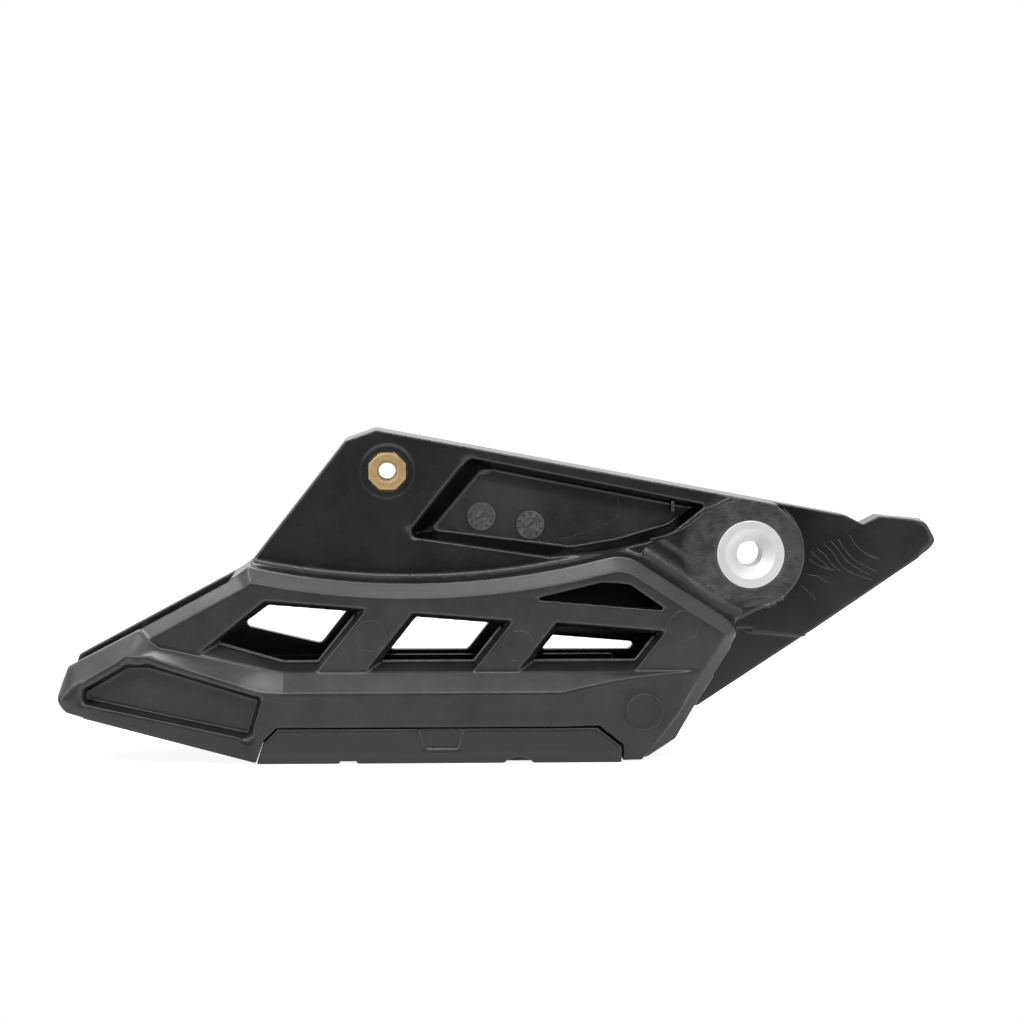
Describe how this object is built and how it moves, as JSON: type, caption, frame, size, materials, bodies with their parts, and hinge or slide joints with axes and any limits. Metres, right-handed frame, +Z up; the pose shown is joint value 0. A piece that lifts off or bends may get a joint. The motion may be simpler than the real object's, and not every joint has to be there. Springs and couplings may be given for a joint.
{
  "type": "motorcycle chain guide",
  "caption": "Moulded chain guide for a motorcycle swing arm, with a slotted cage that the chain runs through, a wear slider in its floor, a threaded insert and a bolt bush.",
  "frame": {"origin": "middle of the rear bush's bolt hole, on its axis", "axes": "+X towards the rear along the guide, +Z up, -Y out of the face that is bolted on, towards the viewer of the picture"},
  "size_m": [0.2311, 0.039, 0.0851],
  "materials": {
    "housing": "satin, fine moulded grain",
    "slider": "satin",
    "front_insert": "machined",
    "rear_bush": "turned"
  },
  "bodies": {
    "root": {"housing": "housing", "slider": "slider", "front_insert": "front_insert", "rear_bush": "rear_bush"}
  },
  "joints": []
}
